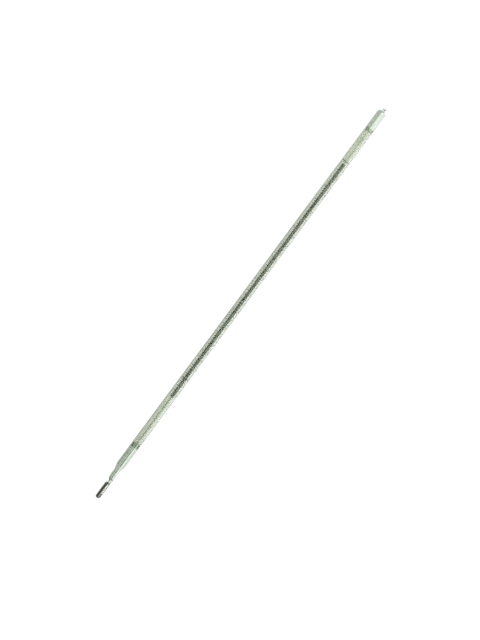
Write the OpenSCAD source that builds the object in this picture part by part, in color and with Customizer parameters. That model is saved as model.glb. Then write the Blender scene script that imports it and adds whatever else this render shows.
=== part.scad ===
// Enclosed-scale laboratory thermometer, 0 to 55 degrees in tenths, lying on the bench.
// It lies along +X, bulb at the -X end and button at the +X end, with the scale facing up (+Z).
// Stations along the tube are measured from the bulb's tip, and heights inside it from its axis.

/* [Whole thermometer] */
// Length from the bulb's tip to the top of the glass button
total_length = 530; // [525:1:545]
// Outside diameter of the sheath tube
sheath_d = 11; // [10.9:0.1:12]
// Wall of the sheath tube
sheath_wall = 1; // [0.8:0.05:1]

/* [Bulb] */
// Outside diameter of the mercury bulb
bulb_d = 5.8; // [5.4:0.1:6.2]
// Length of the bulb, from its tip to the fused joint with the neck
bulb_length = 22; // [18:1:23]
// Wall of the bulb
bulb_wall = 0.45; // [0.4:0.05:0.6]

/* [Neck and shoulder] */
// Largest diameter of the drawn neck above the bulb
neck_d = 7.1; // [6.8:0.1:7.4]
// Station where the neck begins to widen into the shoulder
neck_end = 35.5; // [35:0.5:38]
// Station where the shoulder reaches the full diameter
shoulder_end = 46; // [43:1:50]

/* [Capillary and mercury] */
// Outside diameter of the capillary tube
capillary_d = 2; // [1.8:0.1:2]
// How far the capillary lies in front of the tube's axis along the scale
capillary_rise = 1.02; // [1.02:0.02:1.3]
// Station where the capillary's double bend begins
bend_start = 40; // [38:1:42]
// Length of the double bend
bend_length = 24; // [20:1:26]
// Station of the capillary's closed top end
capillary_end = 495; // [490:1:496]
// Diameter of the capillary's bore
bore_d = 0.5; // [0.4:0.02:0.6]
// Radial gap between mercury and glass
mercury_gap = 0.05; // [0.02:0.01:0.08]
// Temperature that the column shows at rest, in degrees
reading = 20; // [5:1:50]
// Length of the top stretch of the column, which rises and falls
column_top_length = 16; // [12:1:24]

/* [Scale] */
// Width of the opal plate
plate_width = 8.7; // [8:0.1:8.7]
// Thickness of the opal plate
plate_thickness = 0.8; // [0.6:0.05:0.8]
// Station of the plate's lower edge
plate_start = 72.8; // [72:0.1:78]
// Station of the plate's upper edge
plate_end = 499.5; // [498:0.1:502]
// Station of the zero mark
zero_mark = 140.3; // [136:0.1:142]
// Length of one degree on the scale
degree_length = 5.645; // [5.5:0.005:5.65]
// Highest mark, in degrees
highest_mark = 55; // [50:1:55]

/* [Saddles and ties] */
// Length of the lower glass saddle inside the sheath
lower_saddle_length = 6; // [5:0.1:8]
// Length of the upper glass saddle
upper_saddle_length = 4; // [3:0.1:6]
// How deep a saddle's slot takes in the end of the plate
slot_depth = 1.4; // [1:0.1:2]
// Height of a saddle's flat front above the tube's axis
saddle_front = 2.4; // [2.2:0.1:2.8]
// Thickness of the tie wire
wire_d = 0.28; // [0.2:0.02:0.28]
// Turns of wire, side by side, in each tie
tie_turns = 2; // [1:1:3]
// Station of the lower tie
lower_tie_at = 162; // [155:1:170]
// Station of the upper tie
upper_tie_at = 457.5; // [454:0.5:460]

/* [Top end] */
// Radius of the rounding where the sheath closes
dome_round = 3.2; // [2.6:0.1:3.6]
// Diameter of the waist under the button
button_waist_d = 2.8; // [2.4:0.1:3]
// Diameter of the button's disc
button_d = 5; // [4.6:0.1:5.6]
// Height of the button above the sheath's closed end
button_height = 4; // [3.6:0.1:5]

/* [Hidden] */
$fn = 96;

glass = [0.80, 0.90, 0.84, 0.35];
opal = [0.86, 0.89, 0.81];
mercury = [0.42, 0.43, 0.42];
enamel = [0.16, 0.17, 0.11];
wire = [0.38, 0.40, 0.33];

sheath_r = sheath_d / 2;
inner_r = sheath_r - sheath_wall;
bulb_r = bulb_d / 2;
cavity_r = bulb_r - bulb_wall;
capillary_r = capillary_d / 2;
bore_r = bore_d / 2;
mercury_r = bore_r - mercury_gap;
sheath_end = total_length - button_height;
dome_wall = 1.1;

// The bulb's cavity tapers into the bore over this stretch
cavity_taper = 3.2;
cavity_top = bulb_length - 0.6;
bulb_tip_round = bulb_r - 0.3;
cavity_tip_flat = 0.4;

// The sheath's neck is fused round the capillary over this length
neck_seal = 2.2;
neck_wall = 0.7;
neck_foot_r = neck_d / 2 - 0.2;
neck_bulge_at = bulb_length + 10;
neck_waist_r = neck_d / 2 - 0.1;
shoulder_steps = 12;

// The double bend lifts the capillary in front of the plate. Its sides stay just inside the round runs.
bend_end = bend_start + bend_length;
bend_rings = 10;
bend_sides = 24;
bend_inset = 0.01;

// Expansion chamber at the top of the bore
chamber_r = 0.62;
chamber_taper = 3;
chamber_start = capillary_end - 17;
chamber_end = capillary_end - 3.6;

reading_at = zero_mark + reading * degree_length;
column_top_start = reading_at - column_top_length;

// The plate stands in the middle of the tube, just behind the capillary
plate_front = -0.05;
plate_back = plate_front - plate_thickness;
slot_gap = 0.06;
groove_gap = 0.1;

// The plate is notched where a tie goes round it, so that the wire clears the sheath
notch_depth = 0.5;
notch_length = 1.2;
tie_gap = 0.02;
twist_length = 3.4;

// A degree's mark, fired on both sides of the capillary
mark_inner = 0.15;
mark_outer = 3.2;
mark_width = 0.24;
mark_height = 0.03;

button_waist_r = button_waist_d / 2;
button_disc_height = 1.8;
button_flare = 1;
button_rim = 0.9;

// Height of an S-shaped rise from 0 to 1
function rise(t) = t * t * (3 - 2 * t);

// Everything is drawn about the tube's axis and then laid on the bench, half of it each side of X = 0
module on_bench() {
    translate([-total_length / 2, 0, sheath_r]) children();
}

// Lifts a piece to the height of the capillary along the scale
module in_front() {
    translate([0, 0, capillary_rise]) children();
}

// A turned shape: its profile has the radius as first number and the station as second
module turned() {
    rotate([0, 90, 0]) rotate_extrude() children();
}

// A straight round bar along the tube's axis
module bar(r, from, to) {
    translate([from, 0, 0]) rotate([0, 90, 0]) cylinder(r = r, h = to - from);
}

// Rings of points round the capillary's course through its double bend
function bend_points(r) = [
    for (i = [0 : bend_rings], k = [0 : bend_sides - 1])
        let (t = i / bend_rings, turn = 360 * k / bend_sides)
        [bend_start + t * bend_length, r * sin(turn), capillary_rise * rise(t) + r * cos(turn)]
];

// The two end faces, then two triangles for each side of each ring
function bend_faces() = [
    [for (k = [bend_sides - 1 : -1 : 0]) k],
    [for (k = [0 : bend_sides - 1]) bend_rings * bend_sides + k],
    for (i = [0 : bend_rings - 1], k = [0 : bend_sides - 1])
        let (a = i * bend_sides + k, b = i * bend_sides + (k + 1) % bend_sides)
        each [[a, b, b + bend_sides], [a, b + bend_sides, a + bend_sides]]
];

// A round bar along the capillary's course, from below the bend to above it
module bent_bar(r, from, to) {
    bar(r, from, bend_start);
    polyhedron(points = bend_points(r - bend_inset), faces = bend_faces());
    in_front() bar(r, bend_end, to);
}

// A block given by its lowest and highest corners
module block(low, high) {
    translate(low) cube(high - low);
}

// Half profile of a round-cornered closed tip that points down to station 0
module tip_profile(r, corner, to) {
    translate([0, corner]) square([r, to - corner]);
    square([r - corner, corner]);
    intersection() {
        translate([r - corner, corner]) circle(r = corner);
        translate([r - corner, 0]) square(corner);
    }
}

// Half profile of the closed top of a tube of radius r, which ends at a station
module top_profile(r, corner, from, end) {
    translate([0, end]) mirror([0, 1]) tip_profile(r, corner, end - from);
}

module bulb_cavity_profile(gap) {
    r = cavity_r - gap;
    straight_end = cavity_top - cavity_taper;
    translate([0, bulb_wall + gap]) tip_profile(r, r - cavity_tip_flat, straight_end - bulb_wall - gap);
    polygon([[0, straight_end], [r, straight_end], [bore_r - gap, cavity_top], [0, cavity_top]]);
}

// Thin-walled glass reservoir, closed at the tip and drawn in to the bore at the top
module mercury_bulb() {
    color(glass) on_bench() turned() difference() {
        tip_profile(bulb_r, bulb_tip_round, bulb_length);
        bulb_cavity_profile(0);
        translate([0, cavity_top - 0.1]) square([bore_r, 2]);
    }
}

// The mercury in the bulb
module bulb_mercury() {
    color(mercury) on_bench() turned() bulb_cavity_profile(mercury_gap);
}

// Thick-walled capillary, with a chamber at its top that takes the mercury if it is overheated
module capillary_tube() {
    color(glass) on_bench() difference() {
        union() {
            bent_bar(capillary_r, bulb_length, capillary_end - capillary_r);
            in_front() translate([capillary_end - capillary_r, 0, 0]) sphere(r = capillary_r);
        }
        bent_bar(bore_r, bulb_length - 1, chamber_start);
        in_front() turned()
            polygon([[0, chamber_start - 1], [bore_r, chamber_start - 1], [bore_r, chamber_start],
                     [chamber_r, chamber_start + chamber_taper], [chamber_r, chamber_end - 1],
                     [0, chamber_end]]);
    }
}

// The mercury between the bulb and the moving top of the column
module mercury_thread() {
    color(mercury) on_bench() bent_bar(mercury_r, cavity_top, column_top_start);
}

// The top of the column, which ends in a rounded meniscus at the reading
module mercury_column_top() {
    shoulder = reading_at - mercury_r;
    color(mercury) on_bench() in_front() {
        bar(mercury_r, column_top_start, shoulder);
        translate([shoulder, 0, 0]) sphere(r = mercury_r);
    }
}

// Slot for an end of the plate
module plate_slot(from, to) {
    half = plate_width / 2 + slot_gap;
    block([from, -half, plate_back - slot_gap], [to, half, plate_front + slot_gap]);
}

// Glass block fused to the sheath's inside, flat in front
module saddle_block(from, to) {
    intersection() {
        bar(inner_r, from, to);
        block([from, -inner_r, -inner_r], [to, inner_r, saddle_front]);
    }
}

// The lower saddle is grooved for the capillary, and the plate stands in its slot
module lower_saddle() {
    to = plate_start + slot_depth;
    from = to - lower_saddle_length;
    groove_r = capillary_r + groove_gap;
    color(glass) on_bench() difference() {
        saddle_block(from, to);
        in_front() bar(groove_r, from - 1, to + 1);
        block([from - 1, -groove_r, capillary_rise], [to + 1, groove_r, sheath_r]);
        plate_slot(plate_start, to + 1);
    }
}

// The upper saddle leaves the plate room to grow
module upper_saddle() {
    from = plate_end - slot_depth;
    color(glass) on_bench() difference() {
        saddle_block(from, from + upper_saddle_length);
        plate_slot(from - 1, plate_end + slot_gap);
    }
}

module notch_pair(at) {
    half = plate_width / 2;
    for (side = [-1, 1]) {
        translate([at, side * half, plate_back + plate_thickness / 2])
            cube([notch_length, 2 * notch_depth, 2 * plate_thickness], center = true);
    }
}

// White opal strip that carries the scale, behind the capillary
module scale_plate() {
    half = plate_width / 2;
    color(opal) on_bench() difference() {
        block([plate_start, -half, plate_back], [plate_end, half, plate_front]);
        notch_pair(lower_tie_at);
        notch_pair(upper_tie_at);
    }
}

// Fired enamel lines, one for each degree on each side of the capillary
module degree_marks() {
    color(enamel) on_bench() for (degree = [0 : highest_mark], side = [-1, 1]) {
        at = zero_mark + degree * degree_length;
        middle = side * (mark_inner + mark_outer) / 2;
        translate([at, middle, plate_front + mark_height / 2])
            cube([mark_width, mark_outer - mark_inner, mark_height], center = true);
    }
}

// Outline of the wire pulled tight round the capillary and the notched plate
module tie_outline(out) {
    half = plate_width / 2 - notch_depth;
    hull() {
        translate([0, capillary_rise]) circle(r = capillary_r + out, $fn = 48);
        for (side = [-1, 1], height = [plate_front, plate_back]) {
            translate([side * half, height]) circle(r = out, $fn = 24);
        }
    }
}

// Wire tie, with its ends twisted together behind the plate
module tie_wire(at) {
    behind = plate_back - tie_gap - wire_d;
    width = tie_turns * wire_d;
    color(wire) on_bench() {
        translate([at - width / 2, 0, 0]) rotate([90, 0, 90]) linear_extrude(width) difference() {
            tie_outline(tie_gap + wire_d);
            tie_outline(tie_gap);
        }
        translate([0, 0, behind - wire_d / 2]) bar(wire_d, at, at + twist_length);
    }
}

module lower_tie_wire() {
    tie_wire(lower_tie_at);
}

module upper_tie_wire() {
    tie_wire(upper_tie_at);
}

// Outside of the neck and shoulder as radius and station, from the bulb's joint up
function neck_outside() = [
    [bulb_r, bulb_length],
    [neck_foot_r, bulb_length + 2],
    [neck_foot_r + 0.05, bulb_length + 6.5],
    [neck_d / 2, neck_bulge_at],
    for (i = [0 : shoulder_steps])
        let (t = i / shoulder_steps)
        [neck_waist_r + (sheath_r - neck_waist_r) * rise(t), neck_end + t * (shoulder_end - neck_end)]
];

// Inside of the neck and shoulder, in the same form, from the seal round the capillary up
function neck_inside() = [
    [capillary_r + 0.1, bulb_length + neck_seal],
    [neck_foot_r - neck_wall - 0.3, bulb_length + neck_seal + 2],
    [neck_d / 2 - neck_wall, neck_bulge_at],
    for (i = [0 : shoulder_steps])
        let (t = i / shoulder_steps)
        [neck_waist_r - neck_wall + (inner_r - neck_waist_r + neck_wall) * rise(t),
         neck_end + t * (shoulder_end - neck_end)]
];

// Outer sheath: fused to the bulb and the capillary at the neck, closed at the top
module sheath_tube() {
    color(glass) on_bench() turned() difference() {
        union() {
            polygon([[0, bulb_length], each neck_outside(), [0, shoulder_end]]);
            top_profile(sheath_r, dome_round, shoulder_end, sheath_end);
        }
        polygon([[0, bulb_length + neck_seal], each neck_inside(), [0, shoulder_end]]);
        top_profile(inner_r, dome_round - sheath_wall, shoulder_end - 0.01, sheath_end - dome_wall);
        translate([0, bulb_length - 1]) square([capillary_r, neck_seal + 2]);
    }
}

// Solid glass button for a string or a hook
module glass_button() {
    disc_r = button_d / 2;
    flat_r = disc_r - button_rim;
    disc_start = total_length - button_disc_height;
    color(glass) on_bench() turned() {
        polygon([[0, sheath_end], [button_waist_r, sheath_end], [button_waist_r, disc_start - button_flare],
                 [flat_r, disc_start], [0, disc_start]]);
        translate([0, disc_start]) square([flat_r, button_disc_height]);
        translate([flat_r, total_length - button_rim]) circle(r = button_rim);
    }
}

mercury_bulb();
bulb_mercury();
capillary_tube();
mercury_thread();
mercury_column_top();
lower_saddle();
scale_plate();
degree_marks();
upper_saddle();
lower_tie_wire();
upper_tie_wire();
sheath_tube();
glass_button();
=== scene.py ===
from math import acos, atan2, cos, hypot, pi, radians, sin

import bpy
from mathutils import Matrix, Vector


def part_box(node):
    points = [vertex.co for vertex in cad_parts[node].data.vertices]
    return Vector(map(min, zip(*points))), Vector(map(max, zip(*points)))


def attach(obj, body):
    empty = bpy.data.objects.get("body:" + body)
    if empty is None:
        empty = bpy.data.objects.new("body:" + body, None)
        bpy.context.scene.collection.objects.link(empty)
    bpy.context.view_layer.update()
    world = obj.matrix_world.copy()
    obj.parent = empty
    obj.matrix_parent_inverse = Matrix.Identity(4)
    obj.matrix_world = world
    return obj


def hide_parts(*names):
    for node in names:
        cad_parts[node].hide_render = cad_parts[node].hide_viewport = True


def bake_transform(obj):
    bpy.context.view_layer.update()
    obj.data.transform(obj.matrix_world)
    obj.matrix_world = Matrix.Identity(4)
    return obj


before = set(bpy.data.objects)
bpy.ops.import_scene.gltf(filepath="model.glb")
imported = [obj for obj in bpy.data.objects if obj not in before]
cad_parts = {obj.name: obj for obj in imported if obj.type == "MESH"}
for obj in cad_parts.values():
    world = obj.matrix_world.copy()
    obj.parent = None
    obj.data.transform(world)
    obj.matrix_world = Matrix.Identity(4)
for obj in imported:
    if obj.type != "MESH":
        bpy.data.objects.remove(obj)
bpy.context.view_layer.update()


# Mercury bulb
# A thin glass cylinder, blown closed at the tip. It is drawn in at the top to the capillary's bore and
# fused to the neck of the sheath. Everything here is turned about the tube's axis, with x along it.
mm = 0.001
bulb_low, bulb_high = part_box("mercury_bulb")
tip_x = bulb_low.x
axis_z = (bulb_low.z + bulb_high.z) / 2
bulb_r = (bulb_high.z - bulb_low.z) / 2
bulb_joint_x = bulb_high.x
bulb_wall = 0.45 * mm
bulb_roof = 0.6 * mm
cavity_r = bulb_r - bulb_wall
cavity_top_x = bulb_joint_x - bulb_roof
cavity_taper = 3.2 * mm
cavity_shoulder = [(0.6, 0.83), (0.25, 0.34)]  # share of the taper's length, share of the radius
tip_flat_r = 0.3 * mm
cavity_flat_r = 0.4 * mm
bore_r = 0.25 * mm
weld_gap = 0.003 * mm


def arc(x, r, radius, start, end, steps=10):
    """Points on an arc about (x, r). 0 degrees points up the tube and 90 degrees away from its axis."""
    turns = [radians(start + (end - start) * i / steps) for i in range(steps + 1)]
    return [(x + radius * cos(turn), r + radius * sin(turn)) for turn in turns]


def draw(name, points):
    """A path of edges through the points, with its last vertex selected, left in edit mode."""
    bpy.ops.object.select_all(action="DESELECT")
    bpy.ops.mesh.primitive_plane_add(size=mm, location=points[0])
    path = bpy.context.object
    path.name = path.data.name = name
    bpy.ops.object.mode_set(mode="EDIT")
    bpy.ops.mesh.merge(type="CENTER")
    for (x, y, z), (next_x, next_y, next_z) in zip(points, points[1:]):
        step = (next_x - x, next_y - y, next_z - z)
        bpy.ops.mesh.extrude_vertices_move(TRANSFORM_OT_translate={"value": step})
    return path


def settle(piece, smooth_below=40):
    """Leaves edit mode, puts the piece's place into its mesh and smooths all but its sharp edges."""
    bpy.ops.object.mode_set(mode="OBJECT")
    bpy.ops.object.select_all(action="DESELECT")
    piece.select_set(True)
    bpy.context.view_layer.objects.active = piece
    bpy.ops.object.transform_apply(location=True, rotation=True, scale=True)
    bpy.ops.object.shade_smooth_by_angle(angle=radians(smooth_below))
    return piece


def turned(name, profile, sides=96):
    """A shape from the glass lathe: the profile's (x, radius) points are spun about the tube's axis."""
    piece = draw(name, [(x, 0, axis_z + r) for x, r in profile])
    bpy.ops.mesh.select_all(action="SELECT")
    bpy.ops.mesh.spin(steps=sides, angle=2 * pi, center=(0, 0, axis_z), axis=(1, 0, 0))
    bpy.ops.mesh.select_all(action="SELECT")
    bpy.ops.mesh.remove_doubles(threshold=weld_gap)
    bpy.ops.mesh.normals_make_consistent(inside=False)
    return settle(piece)


def closed_tip(x, r, flat_r):
    """Half profile of a closed lower end with rounded corners, from the axis out to radius r."""
    corner = r - flat_r
    return [(x, 0)] + arc(x + corner, flat_r, corner, 180, 90)


def bulb_cavity(gap):
    """Half profile of the bulb's inside, from its tip up to the bore."""
    r = cavity_r - gap
    shoulder = [(cavity_top_x - below * cavity_taper, share * r) for below, share in cavity_shoulder]
    return closed_tip(tip_x + bulb_wall + gap, r, cavity_flat_r) + [
        (cavity_top_x - cavity_taper, r),
        *shoulder,
        (cavity_top_x, bore_r - gap),
    ]


def new_finish(name):
    """A new finish for a piece: the material with its nodes and links."""
    material = bpy.data.materials.new(name)
    material.use_nodes = True
    return material, material.node_tree.nodes, material.node_tree.links


def adjusted(node, values):
    """The node with the named inputs set to the given values."""
    for name, value in values.items():
        node.inputs[name].default_value = value
    return node


def mottle(nodes, links, scale, detail):
    """An uneven value between 0 and 1 that keeps its place on the piece."""
    place = nodes.new("ShaderNodeTexCoord")
    texture = adjusted(nodes.new("ShaderNodeTexNoise"), {"Scale": scale, "Detail": detail})
    links.new(place.outputs["Object"], texture.inputs["Vector"])
    return texture.outputs["Fac"]


def spread(nodes, links, value, to, over=(0, 1)):
    """The value with the range over mapped to the range to, and held at the ends."""
    span = adjusted(nodes.new("ShaderNodeMapRange"), {
        "From Min": over[0], "From Max": over[1], "To Min": to[0], "To Max": to[1]})
    links.new(value, span.inputs["Value"])
    return span.outputs["Result"]


def clear_glass(name, tint, ripple, haze):
    """Tinted glass with faint draw lines and a trace of haze. Lamp light passes straight through it."""
    material, nodes, links = new_finish(name)
    glass = adjusted(nodes["Principled BSDF"], {
        "Base Color": (*tint, 1), "Transmission Weight": 1, "IOR": 1.47})
    place = nodes.new("ShaderNodeTexCoord")
    along = adjusted(nodes.new("ShaderNodeMapping"), {"Scale": (30, 900, 900)})
    draw_lines = adjusted(nodes.new("ShaderNodeTexNoise"), {"Detail": 3})
    bump = adjusted(nodes.new("ShaderNodeBump"), {"Strength": ripple, "Distance": 0.05 * mm})
    links.new(place.outputs["Object"], along.inputs["Vector"])
    links.new(along.outputs["Vector"], draw_lines.inputs["Vector"])
    links.new(draw_lines.outputs["Fac"], bump.inputs["Height"])
    links.new(bump.outputs["Normal"], glass.inputs["Normal"])
    film = spread(nodes, links, mottle(nodes, links, 160, 5), to=(0.005, haze), over=(0.4, 0.8))
    links.new(film, glass.inputs["Roughness"])
    paled_tint = [0.85 + 0.15 * share for share in tint]
    lamp_light = adjusted(nodes.new("ShaderNodeBsdfTransparent"), {"Color": (*paled_tint, 1)})
    ray = nodes.new("ShaderNodeLightPath")
    mix = nodes.new("ShaderNodeMixShader")
    links.new(ray.outputs["Is Shadow Ray"], mix.inputs["Fac"])
    links.new(glass.outputs["BSDF"], mix.inputs[1])
    links.new(lamp_light.outputs["BSDF"], mix.inputs[2])
    links.new(mix.outputs["Shader"], nodes["Material Output"].inputs["Surface"])
    return material


bulb_glass = clear_glass("bulb_glass", (0.85, 0.87, 0.83), 0.03, 0.02)

bulb = turned("blown_bulb", closed_tip(tip_x, bulb_r, tip_flat_r) + [
    (bulb_joint_x, bulb_r),
    (bulb_joint_x, bore_r),
] + bulb_cavity(0)[::-1])
bulb.data.materials.append(bulb_glass)
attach(bulb, "glass_body")
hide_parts("mercury_bulb")


# Capillary tube
# A stout glass tube with a fine bore. Above the neck it is bent forward twice, so that it lies on the
# front of the plate. At the top the bore widens to a chamber, and the end is sealed round in the flame.
capillary_low, capillary_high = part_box("capillary_tube")
capillary_r = (capillary_high.y - capillary_low.y) / 2
capillary_end_x = capillary_high.x
scale_z = capillary_high.z - capillary_r
bend_start_x = tip_x + 40 * mm
bend_end_x = tip_x + 64 * mm
bend_rings = 16
chamber_r = 0.62 * mm
chamber_start_x = capillary_end_x - 17 * mm
chamber_taper = 3 * mm
chamber_end_x = capillary_end_x - 3.6 * mm


def pick(piece, wanted):
    """Selects the vertices of the piece whose place is wanted, and leaves it in edit mode."""
    bpy.ops.object.mode_set(mode="OBJECT")
    for kind in (piece.data.edges, piece.data.polygons):
        kind.foreach_set("select", [False] * len(kind))
    piece.data.vertices.foreach_set("select", [bool(wanted(v.co)) for v in piece.data.vertices])
    bpy.ops.object.mode_set(mode="EDIT")
    bpy.ops.mesh.select_mode(type="VERT")


def bend_stations(r):
    """Profile points of radius r at each ring of the double bend."""
    step = (bend_end_x - bend_start_x) / bend_rings
    return [(bend_start_x + i * step, r) for i in range(bend_rings + 1)]


def lift_past_bend(piece):
    """Bends a straight turned piece forward: each ring of the bend lifts all that lies above it."""
    def height(i):
        t = i / bend_rings
        return t * t * (3 - 2 * t) * (scale_z - axis_z)
    step = (bend_end_x - bend_start_x) / bend_rings
    for i in range(1, bend_rings + 1):
        pick(piece, lambda place: place.x > bend_start_x + (i - 0.5) * step)
        bpy.ops.transform.translate(value=(0, 0, height(i) - height(i - 1)))
    return settle(piece)


capillary_glass = clear_glass("capillary_glass", (0.87, 0.90, 0.85), 0.04, 0.02)

capillary_profile = [(bulb_joint_x, bore_r), (bulb_joint_x, capillary_r)]
capillary_profile += bend_stations(capillary_r)
capillary_profile += arc(capillary_end_x - capillary_r, 0, capillary_r, 90, 0)
capillary_profile += [(chamber_end_x, 0)]
capillary_profile += arc(chamber_end_x - chamber_r, 0, chamber_r, 0, 90, 6)
capillary_profile += [(chamber_start_x + chamber_taper, chamber_r), (chamber_start_x, bore_r)]
capillary_profile += bend_stations(bore_r)[::-1]
capillary_profile += [(bulb_joint_x, bore_r)]
capillary = lift_past_bend(turned("bent_capillary", capillary_profile, sides=48))
capillary.data.materials.append(capillary_glass)
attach(capillary, "glass_body")
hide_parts("capillary_tube")


# Mercury
# The mercury fills the bulb and stands in the bore as a bright thread that ends in a round meniscus.
# It wets nothing, so a hair's breadth stays between it and the glass. Only its top rises and falls,
# and the thread below stretches after it.
mercury_gap = 0.05 * mm
mercury_r = bore_r - mercury_gap
column_low, column_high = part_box("mercury_column_top")
column_start_x = column_low.x
reading_x = column_high.x
thread_ring_gap = 4 * mm


def shades(nodes, links, value, stops):
    """The shade for a value, from (value, colour) stops in rising order."""
    colours = nodes.new("ShaderNodeValToRGB")
    elements = colours.color_ramp.elements
    for element, (at, colour) in zip(elements, (stops[0], stops[-1])):
        element.position = at
        element.color = (*colour, 1)
    for at, colour in stops[1:-1]:
        elements.new(at).color = (*colour, 1)
    links.new(value, colours.inputs["Fac"])
    return colours.outputs["Color"]


def uneven_skin(nodes, links, surface, grain, stops, roughness):
    """Gives a surface the colours and the roughness of an uneven skin."""
    links.new(shades(nodes, links, grain, stops), surface.inputs["Base Color"])
    links.new(spread(nodes, links, grain, to=roughness), surface.inputs["Roughness"])


def liquid_mercury(name):
    """A liquid mirror, a little dull where its skin has picked up a trace of oxide."""
    material, nodes, links = new_finish(name)
    metal = adjusted(nodes["Principled BSDF"], {"Metallic": 1})
    oxide = [(0.35, (0.60, 0.61, 0.58)), (0.7, (0.72, 0.72, 0.70))]
    uneven_skin(nodes, links, metal, mottle(nodes, links, 220, 4), oxide, roughness=(0.01, 0.05))
    return material


mercury = liquid_mercury("mercury")

bulb_filling = turned("bulb_filling", bulb_cavity(mercury_gap) + [(cavity_top_x, 0)], sides=64)
bulb_filling.data.materials.append(mercury)
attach(bulb_filling, "glass_body")
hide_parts("bulb_mercury")

thread_profile = [(cavity_top_x, 0), (cavity_top_x, mercury_r)] + bend_stations(mercury_r)
thread_rings = round((column_start_x - bend_end_x) / thread_ring_gap)
for i in range(1, thread_rings + 1):
    thread_profile.append((bend_end_x + (column_start_x - bend_end_x) * i / thread_rings, mercury_r))
thread = lift_past_bend(turned("mercury_in_bore", thread_profile + [(column_start_x, 0)], sides=24))
thread.data.materials.append(mercury)
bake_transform(thread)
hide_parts("mercury_thread")

column_profile = [(column_start_x, 0), (column_start_x, mercury_r)]
column_profile += arc(reading_x - mercury_r, 0, mercury_r, 90, 0, 6)
column = turned("column_with_meniscus", column_profile, sides=24)
pick(column, lambda place: True)
bpy.ops.transform.translate(value=(0, 0, scale_z - axis_z))
settle(column)
column.data.materials.append(mercury)
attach(column, "mercury_column")
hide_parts("mercury_column_top")


# Opal scale plate
# A strip of white opal glass, ground on its edges, which fills the tube from wall to wall behind the
# capillary. Small notches in its edges keep the two wire ties in place.
plate_low, plate_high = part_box("scale_plate")
plate_half = (plate_high.y - plate_low.y) / 2
notch_depth = 0.5 * mm
notch_length = 1.2 * mm
plate_bevel = 0.12 * mm
lower_tie_low, lower_tie_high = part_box("lower_tie_wire")
upper_tie_low, upper_tie_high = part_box("upper_tie_wire")
wire_r = 0.14 * mm
tie_turns = 2
lower_tie_x = lower_tie_low.x + tie_turns * wire_r
upper_tie_x = upper_tie_low.x + tie_turns * wire_r


def block(name, low, high):
    """A block between two corners, active and selected."""
    bpy.ops.object.select_all(action="DESELECT")
    middle = [(a + b) / 2 for a, b in zip(low, high)]
    size = [b - a for a, b in zip(low, high)]
    bpy.ops.mesh.primitive_cube_add(size=1, location=middle, scale=size)
    piece = bpy.context.object
    piece.name = piece.data.name = name
    bpy.ops.object.transform_apply(location=True, rotation=True, scale=True)
    return piece


def cut(piece, cutter):
    """Cuts the cutter's shape out of the piece and removes the cutter."""
    bpy.context.view_layer.objects.active = piece
    opening = piece.modifiers.new("opening", "BOOLEAN")
    opening.operation = "DIFFERENCE"
    opening.solver = "EXACT"
    opening.object = cutter
    bpy.ops.object.modifier_apply(modifier=opening.name)
    bpy.data.objects.remove(cutter)


def soften(piece, width, segments):
    """Rounds the sharp edges of the piece."""
    bpy.context.view_layer.objects.active = piece
    rounding = piece.modifiers.new("rounding", "BEVEL")
    rounding.width = width
    rounding.segments = segments
    rounding.limit_method = "ANGLE"
    bpy.ops.object.modifier_apply(modifier=rounding.name)


def opal(name):
    """White opal glass with a faint cloudiness, a few specks from the melt and a polished face."""
    material, nodes, links = new_finish(name)
    glass = adjusted(nodes["Principled BSDF"], {"Coat Weight": 0.4, "Coat Roughness": 0.08, "IOR": 1.5})
    cloud = mottle(nodes, links, 90, 6)
    cloudy = shades(nodes, links, cloud, [(0.3, (0.84, 0.83, 0.75)), (0.7, (0.92, 0.91, 0.84))])
    specks = shades(nodes, links, mottle(nodes, links, 2600, 2), [(0.72, (0, 0, 0)), (0.78, (1, 1, 1))])
    speckled = nodes.new("ShaderNodeMix")
    speckled.data_type = "RGBA"
    speckled.inputs["B"].default_value = (0.42, 0.43, 0.34, 1)
    links.new(specks, speckled.inputs["Factor"])
    links.new(cloudy, speckled.inputs["A"])
    links.new(speckled.outputs["Result"], glass.inputs["Base Color"])
    links.new(spread(nodes, links, cloud, to=(0.22, 0.38)), glass.inputs["Roughness"])
    return material


plate = block("opal_strip", plate_low, plate_high)
for tie_x in (lower_tie_x, upper_tie_x):
    for side in (-1, 1):
        notch_low = (tie_x - notch_length / 2, side * plate_half - notch_depth, plate_low.z - mm)
        notch_high = (tie_x + notch_length / 2, side * plate_half + notch_depth, plate_high.z + mm)
        cut(plate, block("notch", notch_low, notch_high))
soften(plate, plate_bevel, segments=2)
settle(plate)
plate.data.materials.append(opal("opal_plate"))
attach(plate, "glass_body")
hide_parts("scale_plate")


# Graduation
# Lines and figures of black enamel, fired on the plate. A line stands on both sides of the capillary
# for each tenth of a degree, longer at the halves and longest at the whole degrees.
zero_x = tip_x + 140.3 * mm
degree = 5.645 * mm
highest_degree = 55
extra_tenths = 5
line_height = 0.03 * mm
line_inner = 0.07 * mm
tenth_outer = 1.7 * mm
half_outer = 2.4 * mm
degree_outer = 3.2 * mm
tenth_width = 0.47 * mm
degree_width = 0.5 * mm
line_shoulder = 0.8


def line(tenth, side):
    """One fired line, narrower on top than where it meets the plate."""
    outer = {0: degree_outer, 5: half_outer}.get(tenth % 10, tenth_outer)
    width = degree_width if tenth % 10 == 0 else tenth_width
    x = zero_x + tenth * degree / 10
    y_low, y_high = sorted((side * line_inner, side * outer))
    top_z = plate_high.z + line_height
    piece = block("line", (x - width / 2, y_low, plate_high.z), (x + width / 2, y_high, top_z))
    pick(piece, lambda place: place.z > plate_high.z + line_height / 2)
    bpy.ops.transform.resize(value=(line_shoulder, 1, 1), center_override=(x, (y_low + y_high) / 2, top_z))
    bpy.ops.object.mode_set(mode="OBJECT")
    return piece


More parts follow.
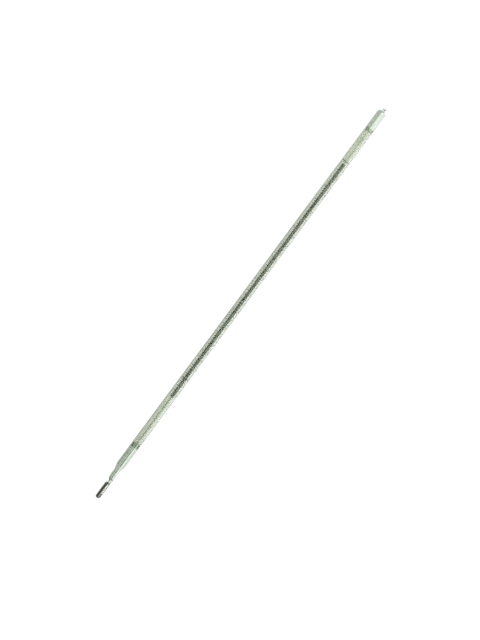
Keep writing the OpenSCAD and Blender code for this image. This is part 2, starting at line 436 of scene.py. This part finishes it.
def join(name, pieces):
    """Joins the pieces into the first of them."""
    bpy.ops.object.select_all(action="DESELECT")
    for piece in pieces:
        piece.select_set(True)
    bpy.context.view_layer.objects.active = pieces[0]
    bpy.ops.object.join()
    pieces[0].name = pieces[0].data.name = name
    return pieces[0]


def fired_enamel(name):
    """Olive black enamel, uneven where the brush or the stamp left less of it."""
    material, nodes, links = new_finish(name)
    surface = nodes["Principled BSDF"]
    blacks = [(0.35, (0.012, 0.013, 0.009)), (0.75, (0.05, 0.052, 0.036))]
    uneven_skin(nodes, links, surface, mottle(nodes, links, 1800, 3), blacks, roughness=(0.3, 0.6))
    return material


enamel = fired_enamel("scale_enamel")

one_degree = join("one_degree", [line(tenth, side) for tenth in range(10) for side in (-1, 1)])
repeat = one_degree.modifiers.new("repeat", "ARRAY")
repeat.count = highest_degree
repeat.use_relative_offset = False
repeat.use_constant_offset = True
repeat.constant_offset_displace = (degree, 0, 0)
bpy.ops.object.modifier_apply(modifier=repeat.name)
top_tenth = 10 * highest_degree
ends = list(range(-extra_tenths, 0)) + list(range(top_tenth, top_tenth + extra_tenths + 1))
end_lines = [line(tenth, side) for tenth in ends for side in (-1, 1)]
graduation = settle(join("graduation_lines", [one_degree] + end_lines))
graduation.data.materials.append(enamel)
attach(graduation, "glass_body")
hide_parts("degree_marks")

figure_height = 1.8 * mm
height_per_size = 0.69
figure_size = figure_height / height_per_size
figure_gap = 1.0 * mm
unit_y = -3.65 * mm
ten_y = 3.2 * mm
figure_step = 2


def figure(digit, y, degrees):
    """A figure that stands just above its line, upright when the bulb hangs down."""
    bpy.ops.object.select_all(action="DESELECT")
    foot = (zero_x + degrees * degree + figure_gap, y, plate_high.z + line_height / 2)
    bpy.ops.object.text_add(location=foot, rotation=(0, 0, -pi / 2))
    piece = bpy.context.object
    piece.data.body = digit
    piece.data.align_x = "CENTER"
    piece.data.extrude = line_height / 2 / figure_size
    piece.scale = (figure_size, figure_size, figure_size)
    bpy.ops.object.convert(target="MESH")
    piece = bpy.context.object
    bpy.ops.object.transform_apply(location=True, rotation=True, scale=True)
    return piece


figures = [figure(str(value % 10), unit_y, value) for value in range(0, highest_degree + 1, figure_step)]
figures += [figure(str(value // 10), ten_y, value) for value in range(10, highest_degree + 1, 10)]
numbering = settle(join("scale_figures", figures))
numbering.data.materials.append(enamel)
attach(numbering, "glass_body")


# Wire ties
# Two ties of fine soft wire hold the capillary against the plate. Each goes round both twice, pulled
# tight, and its ends are twisted together behind the plate.
tie_gap = 0.02 * mm
tie_bend_r = tie_gap + wire_r
tie_half = plate_half - notch_depth
twist_turns = 3.5
twist_steps = 56
tie_lift = scale_z - plate_high.z


def tie_ring():
    """Once round: from the middle of the plate's back past a notch, over the capillary and down again."""
    round_capillary = capillary_r + tie_bend_r
    reach = hypot(tie_half, tie_lift)
    leave = atan2(-tie_lift, tie_half) + acos((round_capillary - tie_bend_r) / reach)
    leave = leave * 180 / pi
    half = arc(0, scale_z, round_capillary, 90, leave, 8)
    half += arc(tie_half, plate_high.z, tie_bend_r, leave, 0, 4)
    half += arc(tie_half, plate_low.z, tie_bend_r, 0, -90, 4)
    back = [(0, plate_low.z - tie_bend_r)]
    return back + [(-y, z) for y, z in half[::-1]] + half[1:] + back


def tie_course(x):
    """The wire's middle line, each turn one thickness of wire further along the plate."""
    ring = tie_ring()
    steps = len(ring) - 1
    points = []
    for i in range(tie_turns * steps + 1):
        y, z = ring[i % steps]
        points.append((x + (i / steps - tie_turns / 2) * 2 * wire_r, y, z))
    return points


def twist_course(x, length, start):
    """One of the two strands of the twisted tail."""
    middle_z = plate_low.z - tie_gap - 3 * wire_r
    points = []
    for i in range(twist_steps + 1):
        turn = start + 2 * pi * twist_turns * i / twist_steps
        points.append((x + length * i / twist_steps, wire_r * cos(turn), middle_z + wire_r * sin(turn)))
    return points


def wire(name, points):
    """Round wire along a course."""
    path = draw(name, points)
    bpy.ops.object.mode_set(mode="OBJECT")
    bpy.ops.object.convert(target="CURVE")
    path = bpy.context.object
    path.data.dimensions = "3D"
    path.data.bevel_depth = wire_r
    path.data.bevel_resolution = 2
    path.data.use_fill_caps = True
    bpy.ops.object.convert(target="MESH")
    path = bpy.context.object
    bpy.ops.object.transform_apply(location=True, rotation=True, scale=True)
    return path


def dull_wire(name):
    """Soft wire with a brown-grey skin, scratched along its length."""
    material, nodes, links = new_finish(name)
    metal = adjusted(nodes["Principled BSDF"], {"Metallic": 0.85})
    browns = [(0.35, (0.07, 0.075, 0.055)), (0.75, (0.22, 0.23, 0.18))]
    uneven_skin(nodes, links, metal, mottle(nodes, links, 1400, 5), browns, roughness=(0.35, 0.65))
    return material


tie_metal = dull_wire("tie_wire")
for node, tie_x, tie_end_x in (("lower_tie_wire", lower_tie_x, lower_tie_high.x),
                               ("upper_tie_wire", upper_tie_x, upper_tie_high.x)):
    strands = [wire("turns", tie_course(tie_x))]
    strands += [wire("strand", twist_course(tie_x, tie_end_x - tie_x - wire_r, start)) for start in (0, pi)]
    tie = settle(join(node.replace("_wire", "_twisted"), strands))
    tie.data.materials.append(tie_metal)
    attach(tie, "glass_body")
    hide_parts(node)


# Saddles
# Two blocks of darker green glass, fused to the inside of the sheath. The plate stands in a slot of the
# lower one, which is grooved for the capillary. The upper one holds the plate's top end loosely.
saddle_clear = 0.06 * mm
saddle_bevel = 0.25 * mm
groove_gap = 0.1 * mm
groove_length = 20 * mm
slot_gap = 0.06 * mm
saddle_glass = clear_glass("saddle_glass", (0.65, 0.71, 0.60), 0.1, 0.1)


def saddle(name, low, high):
    """A short glass block with a round back and a flat front."""
    bpy.ops.object.select_all(action="DESELECT")
    r = (high.y - low.y) / 2 - saddle_clear
    middle = ((low.x + high.x) / 2, 0, axis_z)
    bpy.ops.mesh.primitive_cylinder_add(vertices=96, radius=r, depth=high.x - low.x, location=middle,
                                        rotation=(0, pi / 2, 0))
    piece = bpy.context.object
    piece.name = piece.data.name = name
    bpy.ops.object.mode_set(mode="EDIT")
    bpy.ops.mesh.select_all(action="SELECT")
    bpy.ops.mesh.bisect(plane_co=(0, 0, high.z), plane_no=(0, 0, 1), use_fill=True, clear_outer=True)
    bpy.ops.object.mode_set(mode="OBJECT")
    bpy.ops.object.transform_apply(location=True, rotation=True, scale=True)
    return piece


def plate_slot(piece, low_x, high_x):
    """Cuts the slot for one end of the plate."""
    low = (low_x, -plate_half - slot_gap, plate_low.z - slot_gap)
    high = (high_x, plate_half + slot_gap, plate_high.z + slot_gap)
    cut(piece, block("slot", low, high))


lower_low, lower_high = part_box("lower_saddle")
lower = saddle("lower_bridge", lower_low, lower_high)
plate_slot(lower, plate_low.x, lower_high.x + mm)
groove_r = capillary_r + groove_gap
bpy.ops.object.select_all(action="DESELECT")
bpy.ops.mesh.primitive_cylinder_add(vertices=48, radius=groove_r, depth=groove_length,
                                    location=(lower_low.x, 0, scale_z), rotation=(0, pi / 2, 0))
cut(lower, bpy.context.object)
groove_low = (lower_low.x - mm, -groove_r, scale_z)
groove_high = (lower_high.x + mm, groove_r, lower_high.z + mm)
cut(lower, block("groove", groove_low, groove_high))

upper_low, upper_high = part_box("upper_saddle")
upper = saddle("upper_bridge", upper_low, upper_high)
plate_slot(upper, upper_low.x - mm, plate_high.x + slot_gap)

for bridge, node in ((lower, "lower_saddle"), (upper, "upper_saddle")):
    soften(bridge, saddle_bevel, segments=3)
    settle(bridge)
    bridge.data.materials.append(saddle_glass)
    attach(bridge, "glass_body")
    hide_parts(node)


# Sheath
# The outer tube of clear, faintly green glass. Its foot is drawn down to a neck, which is fused to the
# bulb and the capillary, and its top is closed in the flame once the scale is in.
sheath_low, sheath_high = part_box("sheath_tube")
sheath_r = (sheath_high.z - sheath_low.z) / 2
sheath_wall = 1.0 * mm
inner_r = sheath_r - sheath_wall
sheath_end_x = sheath_high.x
dome_round = 3.2 * mm
dome_wall = 1.1 * mm
neck_seal = 2.2 * mm
seal_gap = 0.03 * mm
seal_r = capillary_r + seal_gap
neck_outside = [(22, 2.90), (24, 3.35), (28.5, 3.40), (32, 3.55), (35.5, 3.45), (46, 5.50)]
neck_inside = [(24.2, 1.10), (26.2, 2.35), (32, 2.85), (35.5, 2.75), (46, inner_r / mm)]


def flowing(stations, steps=8):
    """A smooth line, level at each of its stations, which are (distance from the tip, radius) in mm."""
    points = []
    for (x, r), (next_x, next_r) in zip(stations, stations[1:]):
        for i in range(steps):
            t = i / steps
            level = t * t * (3 - 2 * t)
            points.append((tip_x + (x + t * (next_x - x)) * mm, (r + level * (next_r - r)) * mm))
    x, r = stations[-1]
    return points + [(tip_x + x * mm, r * mm)]


def closed_top(x, r, corner):
    """Half profile of a closed upper end with rounded corners, from radius r in to the axis."""
    return arc(x - corner, r - corner, corner, 90, 0) + [(x, 0)]


sheath_profile = [(bulb_joint_x, seal_r)] + flowing(neck_outside)
sheath_profile += closed_top(sheath_end_x, sheath_r, dome_round)
sheath_profile += closed_top(sheath_end_x - dome_wall, inner_r, dome_round - sheath_wall)[::-1]
sheath_profile += flowing(neck_inside)[::-1] + [(bulb_joint_x + neck_seal, seal_r), (bulb_joint_x, seal_r)]
sheath = turned("outer_sheath", sheath_profile, sides=128)
sheath_glass = clear_glass("sheath_glass", (0.75, 0.80, 0.74), 0.03, 0.02)
sheath.data.materials.append(sheath_glass)
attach(sheath, "glass_body")
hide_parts("sheath_tube")


# Button
# A solid knob of clear glass, drawn out of the closed top end and pressed flat, with a waist below it
# for a loop of string.
button_low, button_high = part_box("glass_button")
button_r = (button_high.y - button_low.y) / 2
button_rim = 0.9 * mm
foot_gap = 0.01 * mm
button_foot_x = sheath_end_x + foot_gap
waist_in_mm = [(0, 1.7), (0.3, 1.45), (0.8, 1.4), (1.3, 1.5), (1.8, 1.85)]
button_profile = [(button_foot_x, 0)] + [(button_foot_x + x * mm, r * mm) for x, r in waist_in_mm]
button_profile += arc(button_high.x - button_rim, button_r - button_rim, button_rim, 150, 0, 12)
button_profile += [(button_high.x, 0)]
button = turned("string_button", button_profile, sides=64)
button_glass = clear_glass("button_glass", (0.60, 0.68, 0.64), 0.05, 0.02)
button.data.materials.append(button_glass)
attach(button, "glass_body")
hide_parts("glass_button")


# Bench, light and view
# The thermometer lies on a plain white bench, in a room that is light on the side of the unit figures
# and dark on the other, as mirror-bright mercury needs it. Seen through glass, the bench's glow is painted:
# painted shade on the dark side and round the bulb, a painted bright band where the tube would gather
# the light, and more even towards the top end. Camera rays and reflections see the bench plain white.
bench_size = 12
bench_gap = 0.02 * mm
bench_brightness = 0.92
shaded_half = 20 * mm
# Painted shade and light across the tube, from the dark side to the light side:
# share of the strip's width, painted brightness through glass.
painted_levels_across = [
    (0, 0.08), (0.32, 0.2), (0.38, 0.27), (0.47, 0.34), (0.49, 0.85), (0.53, 1),
    (0.56, 0.85), (0.6, 0.66), (0.72, 0.8), (0.84, 0.2), (1, 0.03),
]
even_level = 0.75
even_share_at_top = 0.2
even_start_x, even_end_x = 0.1, 0.25
painted_shadow_level_round_bulb, painted_light_level_past_bulb = 0.35, 1.5
painted_bulb_shadow_start_x = bulb_joint_x - 2 * mm


def combine(nodes, links, operation, a, b):
    """The two values put through one arithmetic operation."""
    total = nodes.new("ShaderNodeMath")
    total.operation = operation
    links.new(a, total.inputs[0])
    links.new(b, total.inputs[1])
    return total.outputs[0]


bpy.ops.object.select_all(action="DESELECT")
bpy.ops.mesh.primitive_plane_add(size=bench_size, location=(0, 0, -bench_gap))
bench = bpy.context.object
bench.name = bench.data.name = "bench"
white_bench_with_painted_shade, nodes, links = new_finish("white_bench_with_painted_shade")
matt = adjusted(nodes["Principled BSDF"], {
    "Base Color": (0.12, 0.12, 0.12, 1), "Roughness": 1, "Specular IOR Level": 0})
place = nodes.new("ShaderNodeTexCoord")
split = nodes.new("ShaderNodeSeparateXYZ")
links.new(place.outputs["Object"], split.inputs["Vector"])
# Painted shade and a painted bright band across the bench under the tube, seen only through glass.
across = spread(nodes, links, split.outputs["Y"], to=(0, 1), over=(shaded_half, -shaded_half))
painted_shade_under_tube = shades(nodes, links, across, [(at, (level, level, level)) for at, level in painted_levels_across])
evenness = spread(nodes, links, split.outputs["X"], to=(0, even_share_at_top),
                  over=(even_start_x, even_end_x))
evened = adjusted(nodes.new("ShaderNodeMix"), {"B": even_level})
links.new(evenness, evened.inputs["Factor"])
links.new(painted_shade_under_tube, evened.inputs["A"])
# Painted shadow of the mercury bulb on the bench, and painted light beyond it, seen through glass.
painted_bulb_shadow = spread(nodes, links, split.outputs["X"], to=(painted_shadow_level_round_bulb, painted_light_level_past_bulb),
                    over=(painted_bulb_shadow_start_x, bulb_joint_x))
painted_light_and_shade = combine(nodes, links, "MULTIPLY", evened.outputs["Result"], painted_bulb_shadow)
ray = nodes.new("ShaderNodeLightPath")
seen = combine(nodes, links, "MAXIMUM", ray.outputs["Is Camera Ray"], ray.outputs["Is Glossy Ray"])
# Transmission rays see the painted shade and light as glow; camera and glossy rays see plain white.
bench_light = nodes.new("ShaderNodeMix")
links.new(ray.outputs["Is Transmission Ray"], bench_light.inputs["Factor"])
links.new(spread(nodes, links, seen, to=(0, bench_brightness)), bench_light.inputs["A"])
links.new(painted_light_and_shade, bench_light.inputs["B"])
glow = nodes.new("ShaderNodeEmission")
links.new(bench_light.outputs["Result"], glow.inputs["Strength"])
both = nodes.new("ShaderNodeAddShader")
links.new(matt.outputs["BSDF"], both.inputs[0])
links.new(glow.outputs["Emission"], both.inputs[1])
links.new(both.outputs["Shader"], nodes["Material Output"].inputs["Surface"])
bench.data.materials.append(white_bench_with_painted_shade)

lamp_distance = 1.0


def soft_lamp(name, tilt, low_x, high_x, width, radiance):
    """A rectangular lamp that shines on the thermometer from a given angle off the vertical."""
    place = ((low_x + high_x) / 2, -lamp_distance * sin(tilt), lamp_distance * cos(tilt))
    bpy.ops.object.light_add(type="AREA", location=place, rotation=(tilt, 0, 0))
    lamp = bpy.context.object
    lamp.name = name
    lamp.data.shape = "RECTANGLE"
    lamp.data.size = high_x - low_x
    lamp.data.size_y = width
    lamp.data.energy = radiance * pi * (high_x - low_x) * width
    lamp.visible_camera = False
    return lamp


soft_lamp("long_side_lamp", tilt=radians(72), low_x=-0.28, high_x=0.9, width=0.5, radiance=3)
# The overhead lamp brings the light up to a plain level and doesn't show in glass or mercury.
overhead = soft_lamp("overhead_lamp", tilt=0, low_x=-0.8, high_x=0.8, width=1.6, radiance=2.7)
overhead.visible_glossy = False
overhead.visible_transmission = False

world = bpy.data.worlds.new("studio")
bpy.context.scene.world = world
world.use_nodes = True
nodes, links = world.node_tree.nodes, world.node_tree.links
white = (1, 1, 1, 1)
room = adjusted(nodes["Background"], {"Color": white})
backdrop = adjusted(nodes.new("ShaderNodeBackground"), {"Color": white})
place = nodes.new("ShaderNodeTexCoord")
split = nodes.new("ShaderNodeSeparateXYZ")
links.new(place.outputs["Generated"], split.inputs["Vector"])
light_side = spread(nodes, links, split.outputs["Y"], to=(0.12, 0.75), over=(-0.02, -0.2))
above_wall = spread(nodes, links, split.outputs["Z"], to=(0.2, 1), over=(0.1, 0.6))
links.new(combine(nodes, links, "MULTIPLY", light_side, above_wall), room.inputs["Strength"])
ray = nodes.new("ShaderNodeLightPath")
mix = nodes.new("ShaderNodeMixShader")
links.new(ray.outputs["Is Camera Ray"], mix.inputs["Fac"])
links.new(room.outputs["Background"], mix.inputs[1])
links.new(backdrop.outputs["Background"], mix.inputs[2])
links.new(mix.outputs["Shader"], nodes["World Output"].inputs["Surface"])

# In the photo's frame the bulb points down to the left, and the middle of the thermometer lies a little
# to the right of the frame's middle and above it.
photo_slope = radians(53.47)
camera_distance = 3.0
view_height = 0.700
view_right = 0.00121
view_up = 0.0185
view_x = -(view_right * cos(photo_slope) + view_up * sin(photo_slope))
view_y = -(-view_right * sin(photo_slope) + view_up * cos(photo_slope))
bpy.ops.object.camera_add(location=(view_x, view_y, axis_z + camera_distance), rotation=(0, 0, -photo_slope))
camera = bpy.context.object
camera.name = "photo_view"
camera.data.sensor_fit = "VERTICAL"
camera.data.lens = camera.data.sensor_height * camera_distance / view_height
bpy.context.scene.camera = camera
bpy.context.scene.view_settings.view_transform = "Standard"
